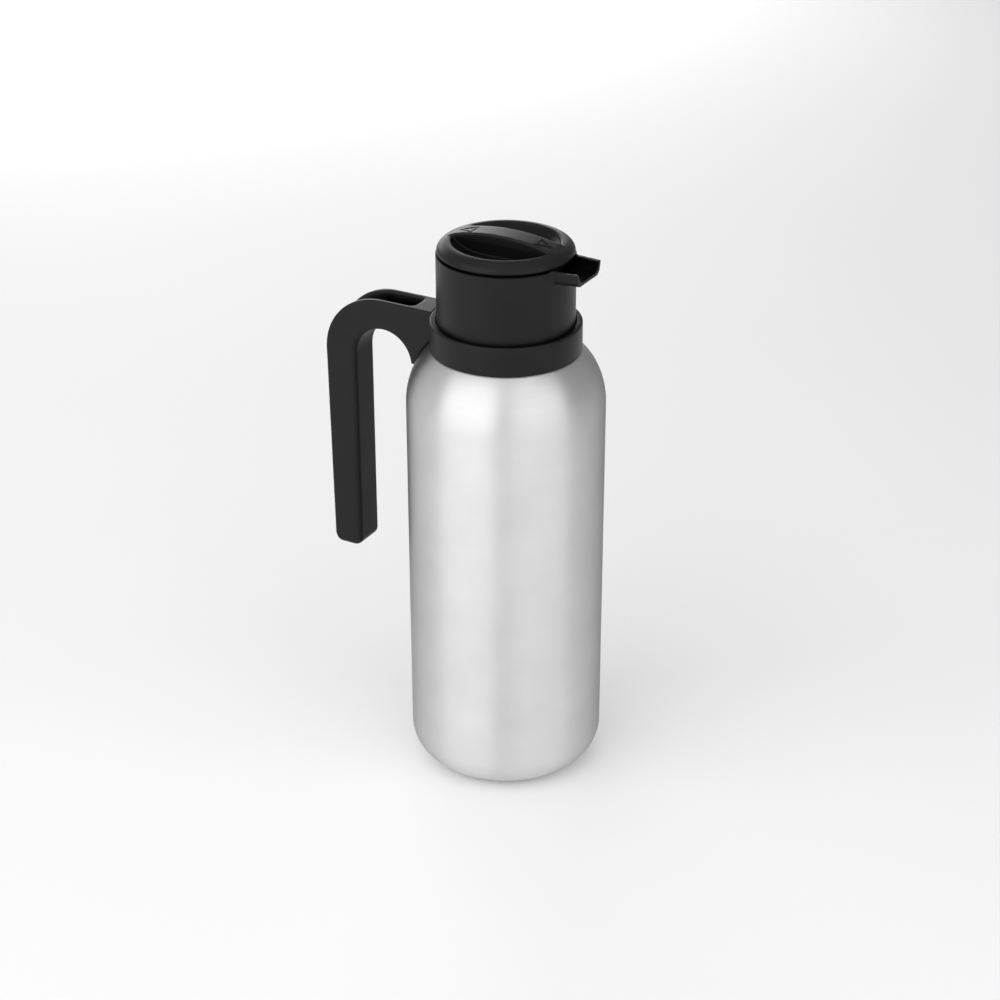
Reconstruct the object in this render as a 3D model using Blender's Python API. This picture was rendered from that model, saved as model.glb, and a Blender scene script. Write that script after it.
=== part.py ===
"""A one-litre vacuum-insulated coffee server: steel bottle, handle, spout head and a twist stopper.

Lengths below are millimetres and become metres in the mesh. +Z is up, the origin is the centre of the
base pad's underside, the spout points to +X and the handle to -X.
"""

import math

import bmesh
import bpy
from mathutils import Vector

MM = 0.001
GAP = 0.3  # clearance between neighbouring pieces
WELD = 1e-6  # metres within which turned points are one

# Steel bottle
BODY_RADIUS = 48.0
STEEL = 0.8
SHELL_FOOT = 0.3  # the shell's lowest ring, just above the pad's underside
BASE_CORNER = 17.4
BASE_OPENING = 27.5
SHOULDER_START = 194.9
SHOULDER_CENTRE = 23.0  # radius of the quarter ellipse's centre
SHOULDER_RISE = 32.0
SHOULDER_ANGLE = 68.2  # degrees of the ellipse before it turns into the neck
NECK_RADIUS = 31.3
NECK_START = 226.4
NECK_TOP = 246.0
LINER_RADIUS = 44.3
LINER_FLOOR = 8.2
LINER_CORNER = 15.8
LINER_SHOULDER_CENTRE = 20.6
LINER_SHOULDER_RISE = 28.8
LINER_SHOULDER_ANGLE = 66.0
LINER_NECK = 29.9
LINER_NECK_START = 222.4
NECK_BEND = 0.4  # how much lower the neck's bend is on the inside of a wall
FOIL_RADIUS = 45.5
FOIL_THICKNESS = 0.3
FOIL_BOTTOM = 28.0
FOIL_TOP = 190.0
PLATE_BOTTOM = 1.4
PLATE_RADIUS = 29.6
SEAL_BUTTON_RADIUS = 2.7
GETTER_RADIUS = 4.5
GETTER_BOTTOM = 5.2
GETTER_TOP = 7.9
GETTER_OFFSET = 14.0
PAD_TOP = 1.1

# Collar and pouring head
COLLAR_RADIUS = 36.3
COLLAR_TOP = 237.3
COLLAR_EDGE = 0.8
COLLAR_LEDGE = 231.0
COLLAR_LIFT = 0.4  # clearance over the steel shoulder
COLLAR_THROAT = 226.9
HEAD_RADIUS = 32.9
HEAD_TOP = 270.6
HEAD_LEDGE = 249.7
HEAD_LEDGE_RADIUS = 27.3
LEDGE_THICKNESS = 2.3
THREAD_BORE = 29.6
THREAD_BORE_TOP = 261.5
POUR_BORE = 31.5
POUR_BORE_START = 263.0
SPOUT_TIP = 43.4
SPOUT_TOP = 270.8
SPOUT_FLOOR = 266.2
SPOUT_UNDERSIDE = 264.2
SPOUT_FALL = 1.2  # how much lower the underside is at the spout's root
SPOUT_WALL = 2.1
SPOUT_ROOT_HALF_WIDTH = 12.9  # along the top, at the head's outer face
SPOUT_TAPER = 0.08  # half-width lost for each millimetre outwards
SPOUT_DRAFT = 1.3  # half-width lost from the top to the underside
SPOUT_CORNER = 2.0
SPOUT_START = 20.0  # where the spout's block starts, inside the head's wall
TROUGH_START = 28.0

# Handle, in the plane y = 0
HANDLE_HALF_WIDTH = 9.0
HANDLE_EDGE = 2.5  # rounding along the finger side
HANDLE_OUTER_EDGE = 1.0  # rounding along the top and the outside
HANDLE_TOP = 237.2
HANDLE_BEND_CENTRE = (-65.5, 206.2)
HANDLE_BEND = 31.0
HANDLE_ARCH_CENTRE = (-64.0, 206.3)
HANDLE_ARCH = 15.6
HANDLE_ROOT = -30.0  # how far the uncut arm runs in towards the axis
ROOT_CLEARANCE = 0.5
GRIP_BOTTOM = 98.5
GRIP_OUTER_FOOT = -95.0
GRIP_CORNER = 3.0
PRONG_TIP = 207.2
CHANNEL_HALF_WIDTH = 6.2
CHANNEL_WALL = 3.0
CHANNEL_END = -47.4
CHANNEL_FOOT = 112.0
CUTTER_REACH = 40.0  # how far a cutter runs past what it cuts
HANDLE_SCREW_Y = 3.2
HANDLE_SCREW_Z = 228.0
SCREW_HOLE_RADIUS = 1.7
SCREW_HOLE_START = 33.0

# Stopper
INSERT_FOOT = 238.0
INSERT_NOSE = 26.0
INSERT_BORE = 24.0
INSERT_SHOULDER = 253.4
INSERT_TOP = 258.6
INSERT_RADIUS = 28.2
WEB_THICKNESS = 2.0
HUB_RADIUS = 9.0
HUB_BOTTOM = 254.5
WINDOW_INNER = 10.5
WINDOW_OUTER = 22.5
WINDOW_HALF_ANGLE = 32.0
RIB_OFFSET = 2.4  # from the guide slot's middle to each rib's middle
RIB_HALF_WIDTH = 0.9
THREAD_CREST = 29.2
THREAD_PITCH = 3.0
THREAD_START = 254.9
THREAD_FOOT = 0.9  # half the ridge's height at its root
THREAD_LAND = 0.35  # half the ridge's height at its crest
STEM_RADIUS = 5.0
STEM_FOOT = 236.0
STEM_CHAMFER = 0.6
STEM_BORE_END = 249.5
GROOVE_RADIUS = 4.2
GROOVE = (252.9, 254.1)
RUNNING = 0.3  # clearance round the turning stem
CAP_RADIUS = 32.5
CAP_FOOT = 271.4
CAP_RIM_INNER = 26.3
CAP_RIM_TOP = 276.5
CAP_UNDERSIDE = 268.0
DISH_BOTTOM = 269.5
DISH_RADIUS = 24.0
DISH_DEPTH = 4.3
DISH_POWER = 4.7  # how flat the dish stays before it turns up at its edge
BAR_HALF_WIDTH = 5.9
BAR_TOP = 280.4
BAR_END_TOP = 277.4
BAR_HALF_LENGTH = 25.0  # where the arch has fallen to BAR_END_TOP
BAR_REACH = 29.0
BAR_WALL = 1.9
BAR_HOLLOW = 19.0
CUP_RADIUS = 27.1
CUP_FLOOR = 262.5
CUP_WALL = 1.5
SKIRT_RADIUS = 31.1
SKIRT_WALL = 1.6
SKIRT_FOOT = 264.0
SKIRT_ROOF = 270.0
WINDOW_HALF_WIDTH = 9.5
PUCK_TOP = 267.7
SCREW_RADIUS = 1.9

# Valve, drawn in the pouring position
VALVE_FOOT = 228.7
VALVE_DISC_TOP = 231.2
VALVE_DISC_RADIUS = 25.5
BOSS_RADIUS = 8.5
BOSS_TOP = 247.0
VANE_HALF_WIDTH = 1.1
VANE_REACH = 22.8
SEAL_INNER = 20.6
SEAL_OUTER = 26.6
SEAL_TOP = 233.7
RETAINER_RADIUS = 23.0

VISIBLE_SEGMENTS = 48
HIDDEN_SEGMENTS = 36
SMALL_SEGMENTS = 20
SCREW_SEGMENTS = 12


def material(name, colour, roughness, metallic=0.0):
    made = bpy.data.materials.new(name)
    made.use_nodes = True
    shader = made.node_tree.nodes["Principled BSDF"]
    shader.inputs["Base Color"].default_value = (*colour, 1.0)
    shader.inputs["Roughness"].default_value = roughness
    shader.inputs["Metallic"].default_value = metallic
    return made


def group(name, height=0.0):
    """An empty on the bottle's axis that one rigid body's pieces hang from."""
    empty = bpy.data.objects.new(name, None)
    empty.location = (0.0, 0.0, height * MM)
    bpy.context.scene.collection.objects.link(empty)
    return empty


def add_object(name, mesh_builder, surface, parent):
    """Turns a bmesh in world metres into a named object under its body's empty."""
    bmesh.ops.recalc_face_normals(mesh_builder, faces=mesh_builder.faces)
    mesh = bpy.data.meshes.new(name)
    if parent:
        bmesh.ops.translate(mesh_builder, verts=mesh_builder.verts, vec=-parent.location)
    mesh_builder.to_mesh(mesh)
    mesh_builder.free()
    mesh.shade_smooth()
    mesh.set_sharp_from_angle(angle=math.radians(30))
    piece = bpy.data.objects.new(name, mesh)
    bpy.context.scene.collection.objects.link(piece)
    piece.parent = parent
    if surface:
        mesh.materials.append(surface)
    return piece


def arc(centre, radii, start, end, steps):
    """Points of an ellipse arc, in degrees, both ends included."""
    turns = [math.radians(start + (end - start) * i / steps) for i in range(steps + 1)]
    return [(centre[0] + radii[0] * math.cos(t), centre[1] + radii[1] * math.sin(t)) for t in turns]


def turned(name, profile, surface, parent, segments=HIDDEN_SEGMENTS):
    """A solid of revolution. A profile that starts and ends on the axis is left open, any other is a ring."""
    bm = bmesh.new()
    points = [bm.verts.new((r * MM, 0.0, z * MM)) for r, z in profile]
    for first, second in zip(points, points[1:]):
        bm.edges.new((first, second))
    if profile[0][0] > 0:
        bm.edges.new((points[-1], points[0]))
    bmesh.ops.spin(
        bm, geom=bm.verts[:] + bm.edges[:], cent=(0, 0, 0), axis=(0, 0, 1),
        angle=math.tau, steps=segments,
    )
    bmesh.ops.remove_doubles(bm, verts=bm.verts, dist=WELD)
    bmesh.ops.dissolve_degenerate(bm, edges=bm.edges, dist=WELD)
    return add_object(name, bm, surface, parent)


def lofted(name, loops, surface=None, parent=None):
    """A solid between outlines with equal point counts, closed by a flat face at each end."""
    bm = bmesh.new()
    rings = [[bm.verts.new(Vector(point) * MM) for point in loop] for loop in loops]
    for lower, upper in zip(rings, rings[1:]):
        for i in range(len(lower)):
            j = (i + 1) % len(lower)
            bm.faces.new((lower[i], lower[j], upper[j], upper[i]))
    bm.faces.new(rings[0][::-1])
    bm.faces.new(rings[-1])
    return add_object(name, bm, surface, parent)


def block(name, low, high, parent=None):
    corners = [(low[0], low[1]), (high[0], low[1]), (high[0], high[1]), (low[0], high[1])]
    return lofted(name, [[(x, y, z) for x, y in corners] for z in (low[2], high[2])], None, parent)


def side_slab(name, outline, half_width, parent=None):
    """An outline in the plane y = 0, made 2 x half_width thick."""
    return lofted(name, [[(x, y, z) for x, z in outline] for y in (-half_width, half_width)], None, parent)


def boolean(piece, helper, operation="DIFFERENCE"):
    """Cuts or joins a helper shape, which is left out of the model itself."""
    modifier = piece.modifiers.new(helper.name, "BOOLEAN")
    modifier.operation = operation
    modifier.object = helper
    helper.hide_render = True
    helper.display_type = "WIRE"


def shoulder_arc(offset, start, end, steps):
    """The outer shell's shoulder, moved outwards by an offset."""
    radii = (BODY_RADIUS - SHOULDER_CENTRE + offset, SHOULDER_RISE + offset)
    return arc((SHOULDER_CENTRE, SHOULDER_START), radii, start, end, steps)


def shoulder_angle_at(radius, offset):
    return math.degrees(math.acos((radius - SHOULDER_CENTRE) / (BODY_RADIUS - SHOULDER_CENTRE + offset)))


# ---------------------------------------------------------------- steel bottle


def outer_shell(steel, bottle):
    corner = (BODY_RADIUS - BASE_CORNER, SHELL_FOOT + BASE_CORNER)
    inner_corner = BASE_CORNER - STEEL
    inner_neck = NECK_RADIUS - STEEL
    profile = [(BASE_OPENING, SHELL_FOOT)]
    profile += arc(corner, (BASE_CORNER, BASE_CORNER), -90, 0, 6)
    profile += shoulder_arc(0, 0, SHOULDER_ANGLE, 8)
    profile += [(NECK_RADIUS, NECK_START), (NECK_RADIUS, NECK_TOP)]
    profile += [(inner_neck, NECK_TOP), (inner_neck, NECK_START - NECK_BEND)]
    profile += shoulder_arc(-STEEL, SHOULDER_ANGLE, 0, 6)
    profile += arc(corner, (inner_corner, inner_corner), 0, -90, 4)
    profile += [(BASE_OPENING, SHELL_FOOT + STEEL)]
    turned("outer_shell", profile, steel, bottle, VISIBLE_SEGMENTS)


def liner_corner():
    """Centre of the round corner between the liner's floor and its wall."""
    return (LINER_RADIUS - LINER_CORNER, LINER_FLOOR + LINER_CORNER)


def inner_liner(steel, bottle):
    """The inner vessel's wall, with a lip that folds over the outer shell's rim, where the two are welded."""
    foot = liner_corner()[1] + GAP
    shoulder = (LINER_SHOULDER_CENTRE, SHOULDER_START)
    outer = (LINER_RADIUS - LINER_SHOULDER_CENTRE, LINER_SHOULDER_RISE)
    inner = (outer[0] - STEEL, outer[1] - STEEL)
    inner_neck = LINER_NECK - STEEL
    lip = NECK_TOP + GAP
    profile = [(LINER_RADIUS - STEEL, foot), (LINER_RADIUS, foot)]
    profile += arc(shoulder, outer, 0, LINER_SHOULDER_ANGLE, 5)
    profile += [(LINER_NECK, LINER_NECK_START), (LINER_NECK, lip), (NECK_RADIUS, lip)]
    profile += [(NECK_RADIUS, lip + STEEL), (inner_neck, lip + STEEL)]
    profile += [(inner_neck, LINER_NECK_START - NECK_BEND)]
    profile += arc(shoulder, inner, LINER_SHOULDER_ANGLE, 0, 5)
    turned("inner_liner", profile, steel, bottle)


def liner_bottom(steel, bottle):
    """The inner vessel's pressed floor, welded to the foot of its wall."""
    corner = liner_corner()
    inner_corner = LINER_CORNER - STEEL
    profile = [(0, LINER_FLOOR)]
    profile += arc(corner, (LINER_CORNER, LINER_CORNER), -90, 0, 5)
    profile += arc(corner, (inner_corner, inner_corner), 0, -90, 5)
    profile += [(0, LINER_FLOOR + STEEL)]
    turned("liner_bottom", profile, steel, bottle)


def radiation_foil(foil, bottle):
    inside = FOIL_RADIUS - FOIL_THICKNESS
    profile = [(inside, FOIL_BOTTOM), (FOIL_RADIUS, FOIL_BOTTOM), (FOIL_RADIUS, FOIL_TOP), (inside, FOIL_TOP)]
    turned("radiation_foil", profile, foil, bottle)


def base_plate(steel, bottle):
    hole = SEAL_BUTTON_RADIUS + GAP
    top = PLATE_BOTTOM + STEEL
    profile = [(hole, PLATE_BOTTOM), (PLATE_RADIUS, PLATE_BOTTOM), (PLATE_RADIUS, top), (hole, top)]
    turned("base_plate", profile, steel, bottle)


def vacuum_seal_button(steel, bottle):
    """The plug that closes the pumping hole in the base plate, domed on its inner side."""
    top = PLATE_BOTTOM + STEEL
    dome = 0.7
    profile = [(0, PLATE_BOTTOM), (SEAL_BUTTON_RADIUS, PLATE_BOTTOM)]
    profile += arc((0, top), (SEAL_BUTTON_RADIUS, dome), 0, 90, 2)
    turned("vacuum_seal_button", profile, steel, bottle, SMALL_SEGMENTS)


def getter_pill(getter, bottle):
    """The gas absorber under the liner's floor, inside the vacuum."""
    profile = [(0, GETTER_BOTTOM), (GETTER_RADIUS, GETTER_BOTTOM)]
    profile += [(GETTER_RADIUS, GETTER_TOP), (0, GETTER_TOP)]
    pill = turned("getter_pill", profile, getter, bottle, SMALL_SEGMENTS)
    pill.location.x = GETTER_OFFSET * MM


def base_pad(rubber, bottle):
    edge = BASE_OPENING - GAP
    chamfer = (0.8, 0.5)
    profile = [(0, 0), (edge - chamfer[0], 0), (edge, chamfer[1]), (edge, PAD_TOP), (0, PAD_TOP)]
    turned("base_pad", profile, rubber, bottle)


# ---------------------------------------------------------------- collar, handle and head


def collar(plastic, bottle, screw_holes):
    """The ring that sits on the shoulder round the neck; the head screws down on its inner ledge."""
    inner = NECK_RADIUS + COLLAR_LIFT
    upper = HEAD_RADIUS + COLLAR_LIFT
    first = shoulder_angle_at(COLLAR_RADIUS, COLLAR_LIFT)
    last = shoulder_angle_at(inner + 0.8, COLLAR_LIFT)
    edge = (COLLAR_RADIUS - COLLAR_EDGE, COLLAR_TOP - COLLAR_EDGE)
    profile = shoulder_arc(COLLAR_LIFT, first, last, 3)
    profile += [(inner, COLLAR_THROAT), (inner, COLLAR_LEDGE), (upper, COLLAR_LEDGE), (upper, COLLAR_TOP)]
    profile += arc(edge, (COLLAR_EDGE, COLLAR_EDGE), 90, 0, 2)
    piece = turned("collar", profile, plastic, bottle, VISIBLE_SEGMENTS)
    for hole in screw_holes:
        boolean(piece, hole)


def handle_outline(inset):
    """The handle's side view, run far enough towards the axis to be cut to fit.

    The finger side is pulled in by the inset, and the top and the outside by less, for their smaller edge.
    """
    outer_inset = inset * HANDLE_OUTER_EDGE / HANDLE_EDGE
    left, bottom = GRIP_OUTER_FOOT + outer_inset, GRIP_BOTTOM + inset
    arch_left = HANDLE_ARCH_CENTRE[0] - HANDLE_ARCH - inset
    corner = max(GRIP_CORNER - inset, 0.5)
    bend = HANDLE_BEND - outer_inset
    arch = HANDLE_ARCH + inset
    tip = math.degrees(math.asin((PRONG_TIP + inset - HANDLE_ARCH_CENTRE[1]) / arch))
    outline = arc((left + corner, bottom + corner), (corner, corner), 270, 180, 3)
    outline += arc(HANDLE_BEND_CENTRE, (bend, bend), 180, 90, 10)
    outline += [(HANDLE_ROOT, HANDLE_TOP - outer_inset), (HANDLE_ROOT, PRONG_TIP + inset)]
    outline += arc(HANDLE_ARCH_CENTRE, (arch, arch), tip, 180, 12)
    outline += arc((arch_left - corner, bottom + corner), (corner, corner), 0, -90, 3)
    return outline


def handle_sections():
    """Offset outlines from one side face to the other, which round the handle's long edges."""
    steps = 3
    sections = []
    for side in (-1, 1):
        edge = []
        for i in range(steps + 1):
            turn = math.radians(90 * i / steps)
            inset = HANDLE_EDGE * (1 - math.sin(turn))
            y = HANDLE_HALF_WIDTH - HANDLE_EDGE * (1 - math.cos(turn))
            edge.append([(x, side * y, z) for x, z in handle_outline(inset)])
        sections += edge if side < 0 else edge[::-1]
    return sections


def handle_channel():
    """The deep channel along the top of the arm and down the outside of the grip."""
    floor = HANDLE_ARCH + CHANNEL_WALL
    above, outside = HANDLE_TOP + CUTTER_REACH, GRIP_OUTER_FOOT - CUTTER_REACH
    end = math.degrees(math.acos((CHANNEL_END - HANDLE_ARCH_CENTRE[0]) / floor))
    outline = arc(HANDLE_ARCH_CENTRE, (floor, floor), 180, end, 12)
    outline += [(CHANNEL_END, above), (outside, above), (outside, CHANNEL_FOOT)]
    outline += [(HANDLE_ARCH_CENTRE[0] - floor, CHANNEL_FOOT)]
    return side_slab("channel_cutter", outline, CHANNEL_HALF_WIDTH)


def shoulder_cutter():
    """The collar and the shoulder with a clearance, which the handle's root is scribed to."""
    edge = COLLAR_RADIUS + GAP
    below, above = SHOULDER_START - CUTTER_REACH, HANDLE_TOP + CUTTER_REACH
    profile = [(0, below), (BODY_RADIUS + ROOT_CLEARANCE, below)]
    profile += shoulder_arc(ROOT_CLEARANCE, 0, shoulder_angle_at(edge, ROOT_CLEARANCE), 10)
    profile += [(edge, above), (0, above)]
    return turned("shoulder_cutter", profile, None, None, VISIBLE_SEGMENTS)


def handle(plastic, bottle, screw_holes):
    piece = lofted("handle", handle_sections(), plastic, bottle)
    boolean(piece, shoulder_cutter())
    boolean(piece, handle_channel())
    for hole in screw_holes:
        boolean(piece, hole)


def lay_along_x(piece, y):
    """Turns a piece that was made along Z so that its top points to -X, at the handle screws' height."""
    piece.rotation_euler = (0.0, math.radians(-90), 0.0)
    piece.location = (0.0, y * MM, HANDLE_SCREW_Z * MM)


def handle_screw_hole(name, y):
    """A clearance hole from the channel's end wall into the collar."""
    start, end = SCREW_HOLE_START, -CHANNEL_END + CHANNEL_WALL
    profile = [(0, start), (SCREW_HOLE_RADIUS, start), (SCREW_HOLE_RADIUS, end), (0, end)]
    hole = turned(name, profile, None, None, SCREW_SEGMENTS)
    lay_along_x(hole, y)
    return hole


def screw_profile(tip, shank, head, seat, recess):
    """A pan-head screw, point down, given the radii of its shank, head and driver recess."""
    top = seat + 0.75 * head
    taper = 1.0
    profile = [(0, tip), (0.7 * shank, tip), (shank, tip + taper), (shank, seat), (head, seat)]
    profile += [(head, seat + 0.45 * head), (0.7 * head, top), (recess, top), (recess, seat + 0.35 * head)]
    return profile + [(0, seat + 0.35 * head)]


def handle_screw(name, y, steel, bottle):
    profile = screw_profile(SCREW_HOLE_START + GAP, SCREW_HOLE_RADIUS - GAP, 2.7, -CHANNEL_END + GAP, 1.2)
    lay_along_x(turned(name, profile, steel, bottle, SCREW_SEGMENTS), y)


def spout_half_width(x):
    """Half the spout's width along its top edges."""
    return SPOUT_ROOT_HALF_WIDTH - SPOUT_TAPER * (x - HEAD_RADIUS)


def spout_section(x, bottom, top, narrower):
    """A cross-section of the spout or its trough at x: sloping sides and chamfered lower corners."""
    slope = SPOUT_DRAFT / (SPOUT_TOP - SPOUT_UNDERSIDE)
    at_top = spout_half_width(x) - narrower
    lower = at_top - slope * (SPOUT_TOP - bottom)
    upper = at_top + slope * (top - SPOUT_TOP)
    side = [(lower - SPOUT_CORNER, bottom), (lower, bottom + SPOUT_CORNER), (upper, top)]
    return [(x, -y, z) for y, z in side[::-1]] + [(x, y, z) for y, z in side]


def spout_block():
    """The spout's outside, from inside the head's wall to its open end."""
    root = spout_section(SPOUT_START, SPOUT_UNDERSIDE - SPOUT_FALL, SPOUT_TOP, 0.0)
    return lofted("spout_block", [root, spout_section(SPOUT_TIP, SPOUT_UNDERSIDE, SPOUT_TOP, 0.0)])


def spout_trough():
    """The space inside the spout, carried on past its open end and above its sides."""
    ends = (TROUGH_START, SPOUT_TIP + CUTTER_REACH)
    above = SPOUT_TOP + CUTTER_REACH
    return lofted("spout_trough", [spout_section(x, SPOUT_FLOOR, above, SPOUT_WALL) for x in ends])


def lid_space():
    """A cylinder round the lid, which the spout starts from."""
    edge = CAP_RADIUS + GAP
    below, above = SPOUT_UNDERSIDE - CUTTER_REACH, SPOUT_TOP + CUTTER_REACH
    profile = [(0, below), (edge, below), (edge, above), (0, above)]
    return turned("lid_space", profile, None, None, VISIBLE_SEGMENTS)


def spout_head(plastic, bottle):
    """The head: a neck socket, an inner ledge, the stopper's bore, and the wide space with its spout."""
    foot = COLLAR_LEDGE + GAP
    neck = NECK_RADIUS + GAP
    ledge_top = HEAD_LEDGE + LEDGE_THICKNESS
    profile = [(neck, foot), (HEAD_RADIUS, foot), (HEAD_RADIUS, HEAD_TOP), (POUR_BORE, HEAD_TOP)]
    profile += [(POUR_BORE, POUR_BORE_START), (THREAD_BORE, THREAD_BORE_TOP), (THREAD_BORE, ledge_top)]
    profile += [(HEAD_LEDGE_RADIUS, ledge_top), (HEAD_LEDGE_RADIUS, HEAD_LEDGE), (neck, HEAD_LEDGE)]
    piece = turned("spout_head", profile, plastic, bottle, VISIBLE_SEGMENTS)
    spout = spout_block()
    boolean(spout, lid_space())
    boolean(piece, spout, "UNION")
    boolean(piece, spout_trough())


def mouth_gasket(rubber, bottle):
    """The seal between the steel mouth and the head's inner ledge."""
    low = NECK_TOP + GAP + STEEL + GAP
    high = HEAD_LEDGE - GAP
    inner = LINER_NECK - STEEL - GAP
    outer = NECK_RADIUS - 0.1
    turned("mouth_gasket", [(inner, low), (outer, low), (outer, high), (inner, high)], rubber, bottle)


# ---------------------------------------------------------------- stopper insert


def thread_ridge():
    """One turn of helical thread that fades into the wall at both ends."""
    steps = HIDDEN_SEGMENTS
    root = INSERT_RADIUS - 0.4
    faded = INSERT_RADIUS - 0.2
    loops = []
    for i in range(steps + 1):
        turn = math.tau * (i + 0.5) / steps
        rise = THREAD_START + THREAD_PITCH * i / steps
        fade = min(1.0, 8.0 * min(i, steps - i) / steps)
        crest = faded + (THREAD_CREST - faded) * fade
        section = [(root, -THREAD_FOOT), (crest, -THREAD_LAND), (crest, THREAD_LAND), (root, THREAD_FOOT)]
        loops.append([(r * math.cos(turn), r * math.sin(turn), rise + dz) for r, dz in section])
    return lofted("thread_ridge", loops)


def pour_window(index):
    """One of four sector openings in the insert's top web."""
    middle = 45.0 + 90.0 * index
    first, last = middle - WINDOW_HALF_ANGLE, middle + WINDOW_HALF_ANGLE
    plan = arc((0, 0), (WINDOW_OUTER, WINDOW_OUTER), first, last, 8)
    plan += arc((0, 0), (WINDOW_INNER, WINDOW_INNER), last, first, 4)
    levels = (HUB_BOTTOM, INSERT_TOP + 1)
    return lofted(f"pour_window_{index}", [[(x, y, z) for x, y in plan] for z in levels])


def guide_rib(side, offset):
    """One of the ribs inside the insert that a valve vane slides between, without turning."""
    foot, top = INSERT_FOOT + 3.0, INSERT_TOP - WEB_THICKNESS + 0.8
    low, high = sorted((side * (INSERT_BORE - 4), side * (INSERT_BORE + 1)))
    corners = (low, offset - RIB_HALF_WIDTH, foot), (high, offset + RIB_HALF_WIDTH, top)
    return block(f"guide_rib_{side}_{offset}", *corners)


def stopper_insert(plastic, parent):
    """The threaded sleeve that screws into the head, with a web on top that carries the knob's stem."""
    bore = STEM_RADIUS + RUNNING
    web = INSERT_TOP - WEB_THICKNESS
    nose_chamfer = 0.3
    profile = [(bore, HUB_BOTTOM), (HUB_RADIUS, HUB_BOTTOM), (HUB_RADIUS, web), (INSERT_BORE, web)]
    profile += [(INSERT_BORE, INSERT_FOOT + nose_chamfer), (INSERT_BORE + nose_chamfer, INSERT_FOOT)]
    profile += [(INSERT_NOSE, INSERT_FOOT), (INSERT_NOSE, INSERT_SHOULDER), (INSERT_RADIUS, INSERT_SHOULDER)]
    profile += [(INSERT_RADIUS, INSERT_TOP), (bore, INSERT_TOP)]
    piece = turned("stopper_insert", profile, plastic, parent)
    boolean(piece, thread_ridge(), "UNION")
    for side in (-1, 1):
        for offset in (-RIB_OFFSET, RIB_OFFSET):
            boolean(piece, guide_rib(side, offset), "UNION")
    for index in range(4):
        boolean(piece, pour_window(index))


def insert_seal(rubber, parent):
    low = HEAD_LEDGE + LEDGE_THICKNESS + GAP
    high = INSERT_SHOULDER - GAP
    inside = INSERT_NOSE + GAP
    outside = INSERT_RADIUS + 0.4
    turned("insert_seal", [(inside, low), (outside, low), (outside, high), (inside, high)], rubber, parent)


# ---------------------------------------------------------------- knob


def bar_top(x):
    """Height of the grip bar's arched top."""
    return BAR_TOP - (BAR_TOP - BAR_END_TOP) * (x / BAR_HALF_LENGTH) ** 2


def bar_arch(half_length, drop, steps):
    xs = [half_length * (1 - 2 * i / steps) for i in range(steps + 1)]
    return [(x, bar_top(x) - drop) for x in xs]


def dish_profile():
    """The finger recesses' hollow, from the rim's inner lip down to the middle."""
    edge = (CAP_RIM_INNER - 0.3, CAP_RIM_TOP - 0.1)
    radii = (25.0, 23.0, 20.5, 17.0, 12.0, 0.0)
    return [edge] + [(r, DISH_BOTTOM + DISH_DEPTH * (r / DISH_RADIUS) ** DISH_POWER) for r in radii]


def knob_cap(plastic, parent):
    """The lid's top moulding: a rounded rim and two finger recesses, with the grip bar between them."""
    rim = (CAP_RIM_INNER, CAP_FOOT + 0.4)
    pocket_top = CAP_FOOT + 2.0
    boss = 22.9
    profile = [(0, CAP_UNDERSIDE), (boss, CAP_UNDERSIDE), (boss + 2.1, CAP_FOOT), (boss + 4.0, pocket_top)]
    profile += [(boss + 5.7, pocket_top), (boss + 7.3, CAP_FOOT), (CAP_RADIUS - 0.4, CAP_FOOT)]
    profile += arc(rim, (CAP_RADIUS - rim[0], CAP_RIM_TOP - rim[1]), 0, 90, 6)
    profile += dish_profile()
    piece = turned("knob_cap", profile, plastic, parent, VISIBLE_SEGMENTS)
    lower = [(boss - 2.9, CAP_UNDERSIDE + 0.6), (boss + 1.1, CAP_FOOT + 1.0), (BAR_REACH, CAP_RIM_TOP - 1.5)]
    outline = [(-x, z) for x, z in lower[::-1]] + lower + bar_arch(BAR_REACH, 0.1, 14)
    boolean(piece, side_slab("bar_block", outline, BAR_HALF_WIDTH), "UNION")
    hollow = [(-BAR_HOLLOW, CAP_UNDERSIDE - 2), (BAR_HOLLOW, CAP_UNDERSIDE - 2)]
    hollow += bar_arch(BAR_HOLLOW, BAR_WALL, 8)
    boolean(piece, side_slab("bar_hollow", hollow, BAR_HALF_WIDTH - BAR_WALL))


def knob_plate(plastic, parent):
    """The lid's underside: a cup for the insulation and a skirt whose two windows line up with the spout."""
    hole = SCREW_RADIUS + GAP
    top = CAP_FOOT - GAP
    skirt_inside = SKIRT_RADIUS - SKIRT_WALL
    cup_inside = CUP_RADIUS - CUP_WALL
    cup_floor = CUP_FLOOR + CUP_WALL
    profile = [(hole, CUP_FLOOR), (CUP_RADIUS, CUP_FLOOR), (CUP_RADIUS, SKIRT_ROOF)]
    profile += [(skirt_inside, SKIRT_ROOF), (skirt_inside, SKIRT_FOOT)]
    profile += [(SKIRT_RADIUS, SKIRT_FOOT), (SKIRT_RADIUS, top), (cup_inside, top)]
    profile += [(cup_inside, cup_floor), (hole, cup_floor)]
    piece = turned("knob_plate", profile, plastic, parent)
    for side in (-1, 1):
        low, high = sorted((side * (CUP_RADIUS + 1.1), side * (SKIRT_RADIUS + 3)))
        corners = (low, -WINDOW_HALF_WIDTH, SKIRT_FOOT - 2), (high, WINDOW_HALF_WIDTH, SKIRT_ROOF - GAP)
        boolean(piece, block(f"skirt_window_{side}", *corners))


def insulation_puck(foam, parent):
    low = CUP_FLOOR + CUP_WALL + GAP
    hole = 6.0
    outside = CUP_RADIUS - CUP_WALL - GAP
    profile = [(hole, low), (outside - 0.4, low), (outside - 2.8, PUCK_TOP), (hole, PUCK_TOP)]
    turned("insulation_puck", profile, foam, parent)


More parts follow.
